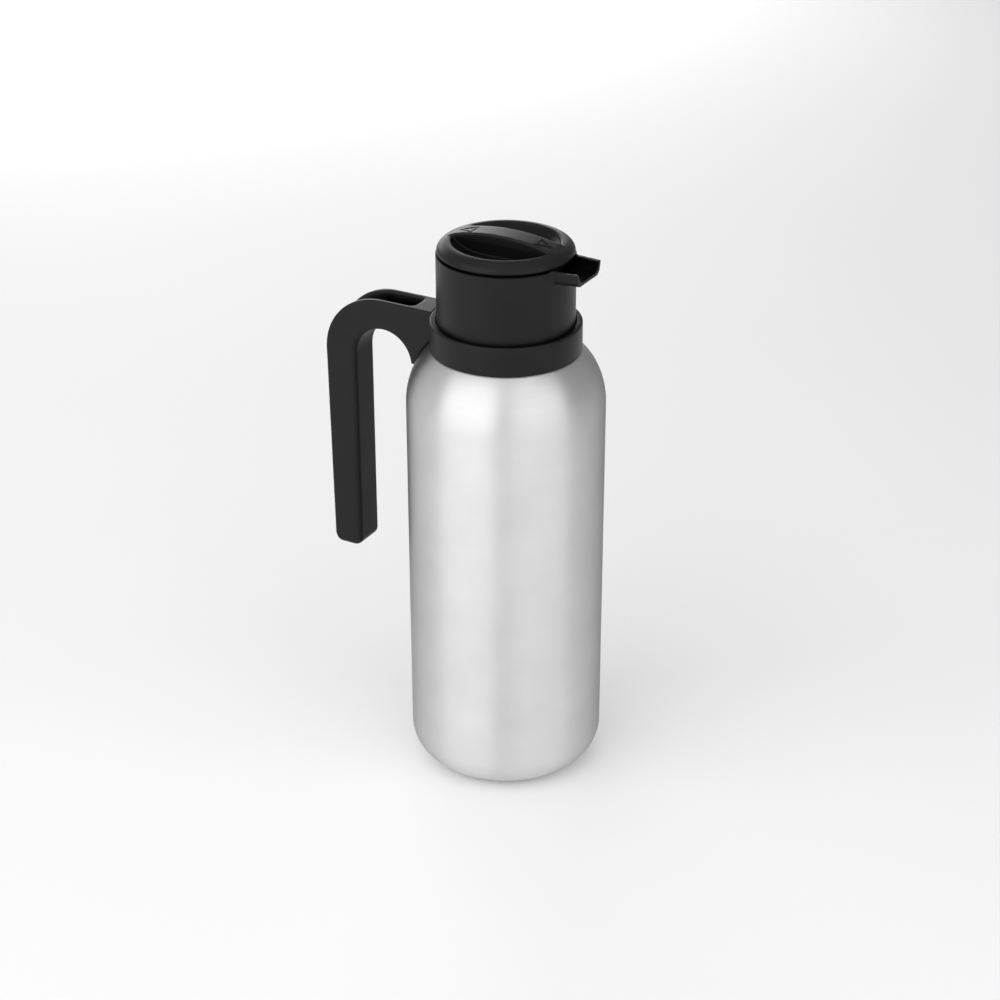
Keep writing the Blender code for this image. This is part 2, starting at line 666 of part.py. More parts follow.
def drive_stem(plastic, parent):
    """The spindle that carries the valve's thread; its flange turns on the insert's hub."""
    flange_foot, flange_top = INSERT_TOP + GAP, CUP_FLOOR - GAP
    bore = SCREW_RADIUS + GAP
    profile = [(0, STEM_FOOT), (STEM_RADIUS - STEM_CHAMFER, STEM_FOOT)]
    profile += [(STEM_RADIUS, STEM_FOOT + STEM_CHAMFER)]
    profile += [(STEM_RADIUS, GROOVE[0]), (GROOVE_RADIUS, GROOVE[0])]
    profile += [(GROOVE_RADIUS, GROOVE[1]), (STEM_RADIUS, GROOVE[1])]
    profile += [(STEM_RADIUS, flange_foot), (HUB_RADIUS, flange_foot), (HUB_RADIUS, flange_top)]
    profile += [(bore, flange_top), (bore, STEM_BORE_END), (0, STEM_BORE_END)]
    turned("drive_stem", profile, plastic, parent, SMALL_SEGMENTS)


def stem_screw(steel, parent):
    profile = screw_profile(STEM_BORE_END + GAP, SCREW_RADIUS, 3.3, CUP_FLOOR + CUP_WALL + GAP, 1.5)
    turned("stem_screw", profile, steel, parent, SMALL_SEGMENTS)


def retaining_clip(steel, parent):
    """The open ring in the stem's groove that keeps the knob in the insert."""
    inner, outer = GROOVE_RADIUS + GAP, STEM_RADIUS + 2.8
    low, high = GROOVE[0] + 0.2, GROOVE[1] - 0.2
    profile = [(inner, low), (outer, low), (outer, high), (inner, high)]
    clip = turned("retaining_clip", profile, steel, parent, SMALL_SEGMENTS)
    mouth = 2.0
    boolean(clip, block("clip_mouth", (mouth, -mouth, low - 1), (outer + 2, mouth, high + 1)))


# ---------------------------------------------------------------- valve


def valve_plunger(plastic, parent):
    """The disc under the insert, with a nut boss on the stem and two vanes that keep it from turning."""
    bore = STEM_RADIUS + RUNNING
    foot_chamfer = (1.5, 1.0)
    blind = VALVE_DISC_TOP + 0.3
    profile = [(0, VALVE_FOOT), (VALVE_DISC_RADIUS - foot_chamfer[0], VALVE_FOOT)]
    profile += [(VALVE_DISC_RADIUS, VALVE_FOOT + foot_chamfer[1]), (VALVE_DISC_RADIUS, VALVE_DISC_TOP)]
    profile += [(BOSS_RADIUS, VALVE_DISC_TOP), (BOSS_RADIUS, BOSS_TOP)]
    profile += [(bore, BOSS_TOP), (bore, blind), (0, blind)]
    piece = turned("valve_plunger", profile, plastic, parent)
    for side in (-1, 1):
        low, high = sorted((side * (BOSS_RADIUS - 1.5), side * VANE_REACH))
        corners = (low, -VANE_HALF_WIDTH, INSERT_FOOT), (high, VANE_HALF_WIDTH, BOSS_TOP - 1)
        boolean(piece, block(f"guide_vane_{side}", *corners), "UNION")


def valve_seal(rubber, parent):
    """The ring with a rounded lip that closes against the insert's foot."""
    low = VALVE_DISC_TOP + GAP
    profile = [(SEAL_INNER, low), (SEAL_OUTER - 0.4, low), (SEAL_OUTER, low + 0.7)]
    profile += [(SEAL_OUTER - 0.5, SEAL_TOP - 0.3), (SEAL_OUTER - 1.4, SEAL_TOP), (SEAL_INNER, SEAL_TOP)]
    turned("valve_seal", profile, rubber, parent)


def seal_retainer(plastic, parent):
    """The stepped ring whose lip holds the seal on the plunger."""
    low = VALVE_DISC_TOP + GAP
    lip = SEAL_TOP + GAP
    top = lip + 1.2
    inner = BOSS_RADIUS + 0.4
    hub = SEAL_INNER - GAP
    profile = [(inner, low), (hub, low), (hub, lip), (RETAINER_RADIUS, lip)]
    profile += [(RETAINER_RADIUS, top), (inner, top)]
    turned("seal_retainer", profile, plastic, parent)


def main():
    for old in list(bpy.data.objects):
        bpy.data.objects.remove(old, do_unlink=True)

    steel = material("brushed_steel", (0.72, 0.72, 0.73), 0.32, 1.0)
    bright = material("bright_steel", (0.75, 0.75, 0.76), 0.25, 1.0)
    foil = material("foil", (0.85, 0.55, 0.38), 0.3, 1.0)
    getter = material("getter", (0.25, 0.25, 0.27), 0.7, 0.6)
    plastic = material("black_plastic", (0.022, 0.022, 0.024), 0.42)
    inner = material("inner_plastic", (0.035, 0.035, 0.037), 0.5)
    rubber = material("silicone", (0.08, 0.08, 0.085), 0.7)
    foam = material("foam", (0.85, 0.84, 0.8), 0.9)

    bottle = group("bottle")
    outer_shell(steel, bottle)
    inner_liner(bright, bottle)
    liner_bottom(bright, bottle)
    radiation_foil(foil, bottle)
    base_plate(bright, bottle)
    vacuum_seal_button(bright, bottle)
    getter_pill(getter, bottle)
    base_pad(rubber, bottle)
    screws = {"left": HANDLE_SCREW_Y, "right": -HANDLE_SCREW_Y}
    holes = [handle_screw_hole(f"screw_hole_{side}", y) for side, y in screws.items()]
    collar(plastic, bottle, holes)
    handle(plastic, bottle, holes)
    for side, y in screws.items():
        handle_screw(f"handle_screw_{side}", y, bright, bottle)
    spout_head(plastic, bottle)
    mouth_gasket(rubber, bottle)

    stopper = group("stopper_lift", INSERT_SHOULDER)
    stopper_insert(inner, stopper)
    insert_seal(rubber, stopper)

    knob = group("knob_axis", INSERT_TOP)
    knob_cap(plastic, knob)
    knob_plate(plastic, knob)
    insulation_puck(foam, knob)
    drive_stem(inner, knob)
    stem_screw(bright, knob)
    retaining_clip(bright, knob)

    valve = group("valve_slide", VALVE_FOOT)
    valve_plunger(inner, valve)
    valve_seal(rubber, valve)
    seal_retainer(inner, valve)


main()
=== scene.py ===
"""The looks of a one-litre vacuum coffee server: steel bottle, black collar, handle, spout head and lid.

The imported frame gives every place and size. Lengths in the shape functions are millimetres from the
frame's origin, the centre of the base pad's underside, with +Z up, the spout at +X and the handle at -X.
"""

import math

import bpy
import numpy as np
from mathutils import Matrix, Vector


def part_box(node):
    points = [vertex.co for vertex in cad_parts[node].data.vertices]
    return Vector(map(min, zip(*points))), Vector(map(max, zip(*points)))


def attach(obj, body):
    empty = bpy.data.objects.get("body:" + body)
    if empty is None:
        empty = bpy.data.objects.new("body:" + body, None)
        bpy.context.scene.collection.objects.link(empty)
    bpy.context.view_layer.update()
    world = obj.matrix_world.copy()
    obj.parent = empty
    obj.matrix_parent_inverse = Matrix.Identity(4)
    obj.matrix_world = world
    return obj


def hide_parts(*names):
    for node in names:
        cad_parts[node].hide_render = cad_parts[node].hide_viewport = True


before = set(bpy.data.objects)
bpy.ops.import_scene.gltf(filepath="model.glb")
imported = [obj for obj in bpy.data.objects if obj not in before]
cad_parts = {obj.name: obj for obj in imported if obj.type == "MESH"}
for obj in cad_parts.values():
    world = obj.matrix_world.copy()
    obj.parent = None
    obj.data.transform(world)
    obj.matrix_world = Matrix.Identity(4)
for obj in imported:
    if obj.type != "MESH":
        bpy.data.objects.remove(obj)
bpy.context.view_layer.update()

MM = 0.001

# ---------------------------------------------------------------- driving dimensions, in millimetres

SPOUT_LIP = 0.2
LID_GAP = 0.8
PAD_CLEARANCE = 0.3


def node_box(node):
    """A CAD node's lowest and highest corners, in millimetres."""
    low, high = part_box(node)
    return np.array(low) / MM, np.array(high) / MM


SHELL_LOW, SHELL_HIGH = node_box("outer_shell")
BODY_RADIUS = SHELL_HIGH[0]
NECK_TOP = SHELL_HIGH[2]
SHELL_FOOT = SHELL_LOW[2]
COLLAR_LOW, COLLAR_HIGH = node_box("collar")
COLLAR_RADIUS = COLLAR_HIGH[0]
COLLAR_TOP = COLLAR_HIGH[2]
HEAD_LOW, HEAD_HIGH = node_box("spout_head")
HEAD_RADIUS = HEAD_HIGH[1]
SPOUT_TOP = HEAD_HIGH[2]
SPOUT_TIP = HEAD_HIGH[0]
HEAD_TOP = SPOUT_TOP - SPOUT_LIP
HANDLE_LOW, HANDLE_HIGH = node_box("handle")
HANDLE_HALF_WIDTH = HANDLE_HIGH[1]
HANDLE_TOP = HANDLE_HIGH[2]
CAP_HIGH = node_box("knob_cap")[1]
CAP_RADIUS = CAP_HIGH[1]
BAR_TOP = CAP_HIGH[2]
CAP_FOOT = HEAD_TOP + LID_GAP
PAD_HIGH = node_box("base_pad")[1]
PAD_RADIUS = PAD_HIGH[0]

STEEL = 0.8
BASE_CORNER = 17.4
BASE_OPENING = PAD_RADIUS + PAD_CLEARANCE
SHOULDER_START = 194.9
SHOULDER_CENTRE = 23.0
SHOULDER_RISE = 32.0
NECK_RADIUS = 31.3
ROUND_SEGMENTS = 144
FINE_SEGMENTS = 192

# Half sections for the distance fields start a little past the axis, so that no edge lies on it.
AXIS_SIDE = -5.0

# ---------------------------------------------------------------- outlines


def arc(centre, radii, start, end, steps):
    """Points of an ellipse arc, in degrees, both ends included."""
    turns = np.radians(np.linspace(start, end, steps + 1))
    return [(centre[0] + radii[0] * math.cos(t), centre[1] + radii[1] * math.sin(t)) for t in turns]


def shoulder_arc(offset, start, end, steps):
    """The outer shell's shoulder, moved outwards by an offset."""
    radii = (BODY_RADIUS - SHOULDER_CENTRE + offset, SHOULDER_RISE + offset)
    return arc((SHOULDER_CENTRE, SHOULDER_START), radii, start, end, steps)


def shoulder_angle_at(radius, offset):
    """The angle, in degrees, at which the offset shoulder passes a radius."""
    return math.degrees(math.acos((radius - SHOULDER_CENTRE) / (BODY_RADIUS - SHOULDER_CENTRE + offset)))


def rounded(corners, steps=5):
    """An outline from (x, y) points and (x, y, radius) corners, each such corner turned into an arc."""
    outline = []
    for i, corner in enumerate(corners):
        if len(corner) == 2:
            outline.append(corner)
            continue
        here = np.array(corner[:2], float)
        before = np.array(corners[i - 1][:2], float) - here
        after = np.array(corners[(i + 1) % len(corners)][:2], float) - here
        before /= np.linalg.norm(before)
        after /= np.linalg.norm(after)
        half = math.acos(float(np.clip(before @ after, -1, 1))) / 2
        middle = (before + after) / np.linalg.norm(before + after)
        centre = here + middle * corner[2] / math.sin(half)
        first = here + before * corner[2] / math.tan(half) - centre
        last = here + after * corner[2] / math.tan(half) - centre
        swing = math.atan2(first[0] * last[1] - first[1] * last[0], first @ last)
        for step in range(steps + 1):
            turn = swing * step / steps
            cos, sin = math.cos(turn), math.sin(turn)
            turned_arm = (first[0] * cos - first[1] * sin, first[0] * sin + first[1] * cos)
            outline.append(tuple(centre + turned_arm))
    return outline


# ---------------------------------------------------------------- meshes


def add_piece(name, points, faces, surface, smooth_angle=None, painted_shade=None):
    """A mesh piece from millimetre points. With no angle every edge is shaded smooth.

    The last argument gives each point an amount of painted shade, from 0 to 1. Moulded plastic is painted
    duller and darker there, in place of the shade that falls in hollows and seams.
    """
    mesh = bpy.data.meshes.new(name)
    mesh.from_pydata((np.asarray(points) * MM).tolist(), [], faces)
    mesh.shade_smooth()
    if smooth_angle:
        mesh.set_sharp_from_angle(angle=math.radians(smooth_angle))
    # Each point's amount of painted shade, kept as a point attribute that the moulded plastic darkens by.
    if painted_shade is not None:
        depth = mesh.attributes.new("painted_shade", "FLOAT", "POINT")
        depth.data.foreach_set("value", np.asarray(painted_shade, np.float32))
    mesh.materials.append(surface)
    piece = bpy.data.objects.new(name, mesh)
    bpy.context.scene.collection.objects.link(piece)
    return piece


def turned(name, profile, surface, segments=ROUND_SEGMENTS, smooth_angle=35, painted_shade=None):
    """A ring turned round the Z axis from a closed (radius, height) profile.

    The last argument takes a point's radius and height and gives its amount of painted shade, from 0 to 1.
    """
    turns = np.arange(segments) * math.tau / segments
    profile = np.array(profile)
    following = np.roll(profile, -1, axis=0)
    if np.sum(profile[:, 0] * following[:, 1] - following[:, 0] * profile[:, 1]) < 0:
        profile = profile[::-1]
    points = np.stack([
        np.outer(np.cos(turns), profile[:, 0]),
        np.outer(np.sin(turns), profile[:, 0]),
        np.tile(profile[:, 1], (segments, 1)),
    ], axis=-1).reshape(-1, 3)
    count = len(profile)
    faces = []
    for s in range(segments):
        for p in range(count):
            t, q = (s + 1) % segments, (p + 1) % count
            faces.append((s * count + p, t * count + p, t * count + q, s * count + q))
    depth = None if painted_shade is None else painted_shade(np.hypot(points[:, 0], points[:, 1]), points[:, 2])
    return add_piece(name, points, faces, surface, smooth_angle, depth)


# ---------------------------------------------------------------- distance fields

SAME_POINT = 1e-12
NO_MOVE = 1e-9
LEAST_SLOPE = 0.05
QUAD_CORNERS = ((-1, -1), (0, -1), (0, 0), (-1, 0))


def smooth_min(a, b, blend):
    """What lies inside either of two distances, with a fillet between them."""
    share = np.clip(0.5 + 0.5 * (b - a) / blend, 0.0, 1.0)
    return b + (a - b) * share - blend * share * (1 - share)


def smooth_max(a, b, blend):
    """What lies inside both of two distances, with the edge between them eased."""
    return -smooth_min(-a, -b, blend)


def fade(value, start, length):
    """0 up to the start, then rising evenly to 1 over a length."""
    return np.clip((value - start) / length, 0, 1)


def outline_distance(x, y, outline):
    """Signed distance to a closed outline, negative inside."""
    nearest = np.full(np.shape(x), np.inf)
    inside = np.zeros(np.shape(x), bool)
    for (x0, y0), (x1, y1) in zip(outline, outline[1:] + outline[:1]):
        dx, dy = x1 - x0, y1 - y0
        length = dx * dx + dy * dy
        if length < SAME_POINT:
            continue
        along = np.clip(((x - x0) * dx + (y - y0) * dy) / length, 0.0, 1.0)
        nearest = np.minimum(nearest, (x - x0 - along * dx) ** 2 + (y - y0 - along * dy) ** 2)
        if y0 != y1:
            crosses = ((y0 > y) != (y1 > y)) & (x < (y - y0) * dx / dy + x0)
            inside ^= crosses
    return np.where(inside, -1.0, 1.0) * np.sqrt(nearest)


def rounded_both(first, second, radius):
    """What lies inside both of two distances, the edge between them rounded."""
    a, b = first + radius, second + radius
    return np.minimum(np.maximum(a, b), 0) + np.hypot(np.maximum(a, 0), np.maximum(b, 0)) - radius


def extruded(flat, across, half_width, rounding):
    """A flat distance made 2 x half_width thick, its long edges rounded."""
    return rounded_both(flat, np.abs(across) - half_width, rounding)


def field_piece(name, field, stretches, surface, painted_shade=None):
    """The zero surface of a distance field, as quads with a point in each grid cell that it crosses.

    stretches gives the grid's lines along X, Y and Z, each as (start, end, cell size) stretches.
    """
    lines = [spaced(*along) for along in stretches]
    grid = np.stack(np.meshgrid(*lines, indexing="ij"), axis=-1)
    values = field(grid[..., 0], grid[..., 1], grid[..., 2])
    cells = tuple(n - 1 for n in values.shape)
    total = np.zeros(cells + (3,))
    count = np.zeros(cells)
    crossings = []
    for axis in range(3):
        low = [slice(None)] * 3
        high = [slice(None)] * 3
        low[axis], high[axis] = slice(0, -1), slice(1, None)
        a, b = values[tuple(low)], values[tuple(high)]
        where = np.argwhere((a < 0) != (b < 0))
        va, vb = a[tuple(where.T)], b[tuple(where.T)]
        step = where.copy()
        step[:, axis] += 1
        start, end = grid[tuple(where.T)], grid[tuple(step.T)]
        point = start + (end - start) * (va / (va - vb))[:, None]
        others = [i for i in range(3) if i != axis]
        around = []
        for shift in QUAD_CORNERS:
            cell = where.copy()
            cell[:, others[0]] += shift[0]
            cell[:, others[1]] += shift[1]
            around.append(cell)
            kept = ((cell >= 0) & (cell < cells)).all(axis=1)
            np.add.at(total, tuple(cell[kept].T), point[kept])
            np.add.at(count, tuple(cell[kept].T), 1)
        crossings.append((axis, np.stack(around, axis=1), va < 0))
    index = np.full(cells, -1)
    used = count > 0
    index[used] = np.arange(used.sum())
    points = total[used] / count[used][:, None]
    faces = []
    for axis, around, leaving in crossings:
        quads = index[tuple(np.moveaxis(around, -1, 0))]
        flip = leaving if axis == 1 else ~leaving
        quads[flip] = quads[flip][:, ::-1]
        faces.append(quads)
    faces = np.concatenate(faces)
    points = settled(points, field)
    # Each point's amount of painted shade, when a function for it is given.
    return add_piece(name, points, faces.tolist(), surface, painted_shade=painted_shade(*points.T) if painted_shade else None)


def settled(points, field, rounds=4, reach=0.6, probe=0.02):
    """Points moved onto the field's zero surface along its slope."""
    for _ in range(rounds):
        value = field(*points.T)
        slope = np.stack([
            field(*(points + step).T) - field(*(points - step).T) for step in probe * np.eye(3)
        ], axis=1) / (2 * probe)
        size = np.maximum((slope ** 2).sum(axis=1), LEAST_SLOPE)
        move = -slope * (value / size)[:, None]
        length = np.linalg.norm(move, axis=1)
        points = points + move * np.minimum(1.0, reach / np.maximum(length, NO_MOVE))[:, None]
    return points


def spaced(*stretches):
    """Grid lines from (start, end, step) stretches that meet end to end."""
    lines = []
    for start, end, step in stretches:
        lines.append(np.linspace(start, end, max(2, round((end - start) / step) + 1)))
    return np.unique(np.round(np.concatenate(lines), 6))


# ---------------------------------------------------------------- materials

BRUSHING = (25, 25, 2600)
UNIFORM = (1, 1, 1)
NOISE_LOW = 0.3
NOISE_HIGH = 0.7
METAL_CLOUDS = 38.0
METAL_GRAIN_HEIGHT = 0.00002
PLASTIC_CLOUDS = 60.0
PLASTIC_GRAIN = 2600.0
PLASTIC_GRAIN_HEIGHT = 0.00004
# Painted shade lowers the plastic's specular level to this share and darkens its colour to this share.
PAINTED_SHADE_SPECULAR = 0.06
PAINTED_SHADE_TINT = 0.25


def new_material(name):
    """A material with its default shader, and its lists of nodes and links."""
    made = bpy.data.materials.new(name)
    made.use_nodes = True
    return made, made.node_tree.nodes, made.node_tree.links


def texture_space(nodes, links, scale):
    """Object coordinates in metres, multiplied by a scale for each axis."""
    coordinates = nodes.new("ShaderNodeTexCoord")
    mapping = nodes.new("ShaderNodeMapping")
    mapping.inputs["Scale"].default_value = scale
    links.new(coordinates.outputs["Object"], mapping.inputs["Vector"])
    return mapping.outputs["Vector"]


def noise(nodes, links, vector, scale, detail=2.0, roughness=0.5):
    """Soft noise whose value mostly lies between NOISE_LOW and NOISE_HIGH."""
    texture = nodes.new("ShaderNodeTexNoise")
    texture.inputs["Scale"].default_value = scale
    texture.inputs["Detail"].default_value = detail
    texture.inputs["Roughness"].default_value = roughness
    links.new(vector, texture.inputs["Vector"])
    return texture.outputs["Fac"]


def mapped(nodes, links, value, low, high, from_low=NOISE_LOW, from_high=NOISE_HIGH):
    """A value, by default a noise value, spread over a range."""
    remap = nodes.new("ShaderNodeMapRange")
    remap.inputs["From Min"].default_value = from_low
    remap.inputs["From Max"].default_value = from_high
    remap.inputs["To Min"].default_value = low
    remap.inputs["To Max"].default_value = high
    links.new(value, remap.inputs["Value"])
    return remap.outputs["Result"]


def tinted(nodes, links, value, dark, light):
    """A colour that drifts between two shades with a noise value."""
    ramp = nodes.new("ShaderNodeValToRGB")
    ramp.color_ramp.elements[0].position = NOISE_LOW
    ramp.color_ramp.elements[0].color = (*dark, 1)
    ramp.color_ramp.elements[1].position = NOISE_HIGH
    ramp.color_ramp.elements[1].color = (*light, 1)
    links.new(value, ramp.inputs["Fac"])
    return ramp.outputs["Color"]


def bumped(nodes, links, height, strength, distance):
    """A surface normal tilted by a height pattern whose full depth is a distance in metres."""
    bump = nodes.new("ShaderNodeBump")
    bump.inputs["Strength"].default_value = strength
    bump.inputs["Distance"].default_value = distance
    links.new(height, bump.inputs["Height"])
    return bump.outputs["Normal"]


def brushed_metal(name, dark, light, rough, grain_strength, stretch=0.8, edge=1.0):
    """Satin steel brushed round the Z axis, so a reflection spreads up and down across the grain.

    edge is how much of the reflection is left where the surface is seen at a grazing angle.
    """
    made, nodes, links = new_material(name)
    shader = nodes["Principled BSDF"]
    shader.inputs["Metallic"].default_value = 1.0
    shader.inputs["Specular Tint"].default_value = (edge, edge, edge, 1.0)
    shader.inputs["Anisotropic"].default_value = stretch
    shader.inputs["Anisotropic Rotation"].default_value = 0.25
    tangent = nodes.new("ShaderNodeTangent")
    tangent.direction_type = "RADIAL"
    tangent.axis = "Z"
    links.new(tangent.outputs["Tangent"], shader.inputs["Tangent"])
    grain = noise(nodes, links, texture_space(nodes, links, BRUSHING), 1.0, 3.0, 0.6)
    cloud = noise(nodes, links, texture_space(nodes, links, UNIFORM), METAL_CLOUDS, 3.0)
    links.new(tinted(nodes, links, cloud, dark, light), shader.inputs["Base Color"])
    links.new(mapped(nodes, links, grain, rough - 0.04, rough + 0.05), shader.inputs["Roughness"])
    links.new(bumped(nodes, links, grain, grain_strength, METAL_GRAIN_HEIGHT), shader.inputs["Normal"])
    return made


def moulded_plastic(name, dark, light, rough, grain=0.12, specular=0.5):
    """Moulded plastic with a fine texture, a slow drift in its gloss, and painted shade: duller and darker
    wherever a piece marks its points as shaded.
    """
    made, nodes, links = new_material(name)
    shader = nodes["Principled BSDF"]
    # Painted shade: the point attribute lowers the specular level and darkens the base colour.
    hollow = nodes.new("ShaderNodeAttribute")
    hollow.attribute_name = "painted_shade"
    shaded_specular = mapped(nodes, links, hollow.outputs["Fac"], specular, specular * PAINTED_SHADE_SPECULAR, 0.0, 1.0)
    links.new(shaded_specular, shader.inputs["Specular IOR Level"])
    space = texture_space(nodes, links, UNIFORM)
    fine = noise(nodes, links, space, PLASTIC_GRAIN, 2.0)
    cloud = noise(nodes, links, space, PLASTIC_CLOUDS, 3.0)
    shade = nodes.new("ShaderNodeMix")
    shade.data_type = "RGBA"
    shade.inputs["B"].default_value = (*(PAINTED_SHADE_TINT * channel for channel in dark), 1.0)
    links.new(hollow.outputs["Fac"], shade.inputs["Factor"])
    links.new(tinted(nodes, links, cloud, dark, light), shade.inputs["A"])
    links.new(shade.outputs["Result"], shader.inputs["Base Color"])
    links.new(mapped(nodes, links, cloud, rough - 0.03, rough + 0.04), shader.inputs["Roughness"])
    links.new(bumped(nodes, links, fine, grain, PLASTIC_GRAIN_HEIGHT), shader.inputs["Normal"])
    return made


BODY_STEEL = brushed_metal("body_steel", (0.70, 0.70, 0.705), (0.75, 0.75, 0.755), 0.45, 0.10, edge=0.30)
INNER_STEEL = brushed_metal("inner_steel", (0.66, 0.66, 0.67), (0.72, 0.72, 0.73), 0.26, 0.08)
SCREW_STEEL = brushed_metal("screw_steel", (0.50, 0.50, 0.52), (0.60, 0.60, 0.62), 0.35, 0.05)
FOIL = brushed_metal("foil", (0.80, 0.80, 0.82), (0.88, 0.88, 0.90), 0.20, 0.20)
GETTER = brushed_metal("getter", (0.14, 0.14, 0.15), (0.22, 0.22, 0.24), 0.60, 0.30)
BLACK_PLASTIC = moulded_plastic(
    "black_plastic", (0.005, 0.005, 0.0053), (0.007, 0.007, 0.0073), 0.42, specular=0.22,
)
INNER_PLASTIC = moulded_plastic("inner_plastic", (0.026, 0.026, 0.027), (0.034, 0.034, 0.036), 0.48)
# The knob plate's black plastic, painted darker and duller than the lid's as shade in the seam under the
# lid.
SHADED_BLACK_PLASTIC = moulded_plastic(
    "shaded_black_plastic", (0.003, 0.003, 0.0032), (0.005, 0.005, 0.0053), 0.60, specular=0.05,
)
SILICONE = moulded_plastic("silicone", (0.05, 0.05, 0.052), (0.07, 0.07, 0.073), 0.62, grain=0.05)
FOAM = moulded_plastic("foam", (0.72, 0.71, 0.66), (0.86, 0.85, 0.80), 0.85, grain=0.8)

# ---------------------------------------------------------------- steel bottle

FOOT_CHAMFER = 0.3
SIDE_START = 30.0
SIDE_END = 180.0
SHOULDER_SWEEP = 68.2
SHOULDER_END = (32.3, 224.6)
NECK_FOOT = 226.4
NECK_FOOT_INSIDE = 226.0
NECK_FILLET = 1.0

PAD_HUB = 0.01
PAD_RINGS = (8.0, 15.0, 22.0)
PAD_RING_WIDTH = 1.2
PAD_RING_DEPTH = 0.35
PAD_RING_EDGE = 0.15
PAD_RIM = 3.0
PAD_LOWER_EDGE = 0.5
PAD_UPPER_EDGE = 0.2


def bottle_shell():
    """The outer wall: a rounded foot, a straight side, an elliptical shoulder and the neck."""
    corner = (BODY_RADIUS - BASE_CORNER, SHELL_FOOT + BASE_CORNER)
    inner_corner = BASE_CORNER - STEEL
    neck_inside = NECK_RADIUS - STEEL
    profile = [(BASE_OPENING, SHELL_FOOT + FOOT_CHAMFER), (BASE_OPENING + FOOT_CHAMFER, SHELL_FOOT)]
    profile += arc(corner, (BASE_CORNER, BASE_CORNER), -90, 0, 20)
    profile += [(BODY_RADIUS, z) for z in np.linspace(SIDE_START, SIDE_END, 11)]
    profile += shoulder_arc(0, 0, SHOULDER_SWEEP, 24)
    profile += rounded([SHOULDER_END, (NECK_RADIUS, NECK_FOOT, NECK_FILLET), (NECK_RADIUS, NECK_TOP)])[1:-1]
    profile += [(NECK_RADIUS, NECK_TOP), (neck_inside, NECK_TOP), (neck_inside, NECK_FOOT_INSIDE)]
    profile += shoulder_arc(-STEEL, SHOULDER_SWEEP, 0, 12)
    profile += arc(corner, (inner_corner, inner_corner), 0, -90, 10)
    profile += [(BASE_OPENING, SHELL_FOOT + STEEL)]
    return turned("bottle_shell", profile, BODY_STEEL, FINE_SEGMENTS)


def foot_pad():
    """The non-slip pad, with shallow rings moulded into its underside."""
    top = PAD_HIGH[2]
    profile = [(PAD_HUB, 0.0)]
    for inner in PAD_RINGS:
        outer = inner + PAD_RING_WIDTH
        groove = [(inner, 0), (inner, PAD_RING_DEPTH, PAD_RING_EDGE)]
        groove += [(outer, PAD_RING_DEPTH, PAD_RING_EDGE), (outer, 0)]
        profile += rounded(groove, 2)
    rim = [(PAD_RADIUS - PAD_RIM, 0), (PAD_RADIUS, 0, PAD_LOWER_EDGE)]
    rim += [(PAD_RADIUS, top, PAD_UPPER_EDGE), (PAD_HUB, top)]
    profile += rounded(rim)[1:]
    return turned("foot_pad", profile, SILICONE)


# ---------------------------------------------------------------- collar

COLLAR_LIFT = 0.4
COLLAR_FOOT_INSIDE = 32.5
COLLAR_THROAT = NECK_RADIUS + 0.4
COLLAR_THROAT_FOOT = 226.9
COLLAR_LEDGE = HEAD_LOW[2] - 0.3
COLLAR_BORE = HEAD_RADIUS + 0.45
COLLAR_CHAMFER = 0.15
COLLAR_FOOT_CHAMFER = 0.3
COLLAR_EDGE = 1.3
# Painted shade on the collar's top and inside, so that its top edge catches less highlight.
COLLAR_PAINTED_SHADE = 0.8
COLLAR_SHADE_ABOVE = HEAD_LOW[2] - 1.0
COLLAR_SHADE_FADE = (0.5, 0.6)


def collar_painted_shade(radius, z):
    """Painted shade: 0 on the collar's outside, rising over its rounded edge to its full amount on its top
    and inside, so that the top catches less highlight.
    """
    return COLLAR_PAINTED_SHADE * fade(COLLAR_RADIUS - radius, *COLLAR_SHADE_FADE) * (z > COLLAR_SHADE_ABOVE)


def collar_ring():
    """The ring that follows the shoulder underneath and takes the head's foot in its bore."""
    first = shoulder_angle_at(COLLAR_RADIUS - COLLAR_FOOT_CHAMFER, COLLAR_LIFT)
    last = shoulder_angle_at(COLLAR_FOOT_INSIDE, COLLAR_LIFT)
    edge_centre = (COLLAR_RADIUS - COLLAR_EDGE, COLLAR_TOP - COLLAR_EDGE)
    profile = shoulder_arc(COLLAR_LIFT, first, last, 5)
    profile += [(COLLAR_THROAT, COLLAR_THROAT_FOOT), (COLLAR_THROAT, COLLAR_LEDGE)]
    profile += [(COLLAR_BORE, COLLAR_LEDGE), (COLLAR_BORE, COLLAR_TOP - COLLAR_CHAMFER)]
    profile += [(COLLAR_BORE + COLLAR_CHAMFER, COLLAR_TOP)]
    profile += arc(edge_centre, (COLLAR_EDGE, COLLAR_EDGE), 90, 0, 10)
    profile += [(COLLAR_RADIUS, COLLAR_LOW[2] + COLLAR_LIFT)]
    return turned("collar_ring", profile, BLACK_PLASTIC, FINE_SEGMENTS, painted_shade=collar_painted_shade)


# ---------------------------------------------------------------- handle

BEND_RADIUS = 31.0
BEND_CENTRE = (HANDLE_LOW[0] + BEND_RADIUS, 206.2)
ARM_TOP = HANDLE_TOP - 0.9
ARM_ROOT = -20.0
ARCH_RADIUS = 15.6
ARCH_CENTRE = (-64.0, 205.6)
ARCH_START = 3.3
PRONG_HEIGHT = 207.2
GRIP_OUTSIDE = (-96.0, 170.0)
GRIP_OUTER_FOOT = -95.0
GRIP_INSIDE = -79.7
GRIP_STRAIGHT_TOP = 150.0
GRIP_BOTTOM = HANDLE_LOW[2]
FOOT_OUTER_CORNER = 5.5
FOOT_INNER_CORNER = 4.5
OUTER_EDGE = 1.0
FINGER_EDGE = 2.5
ROOT_EDGE = 1.0
BEYOND_GRIP = -120.0
ABOVE_ARM = 260.0

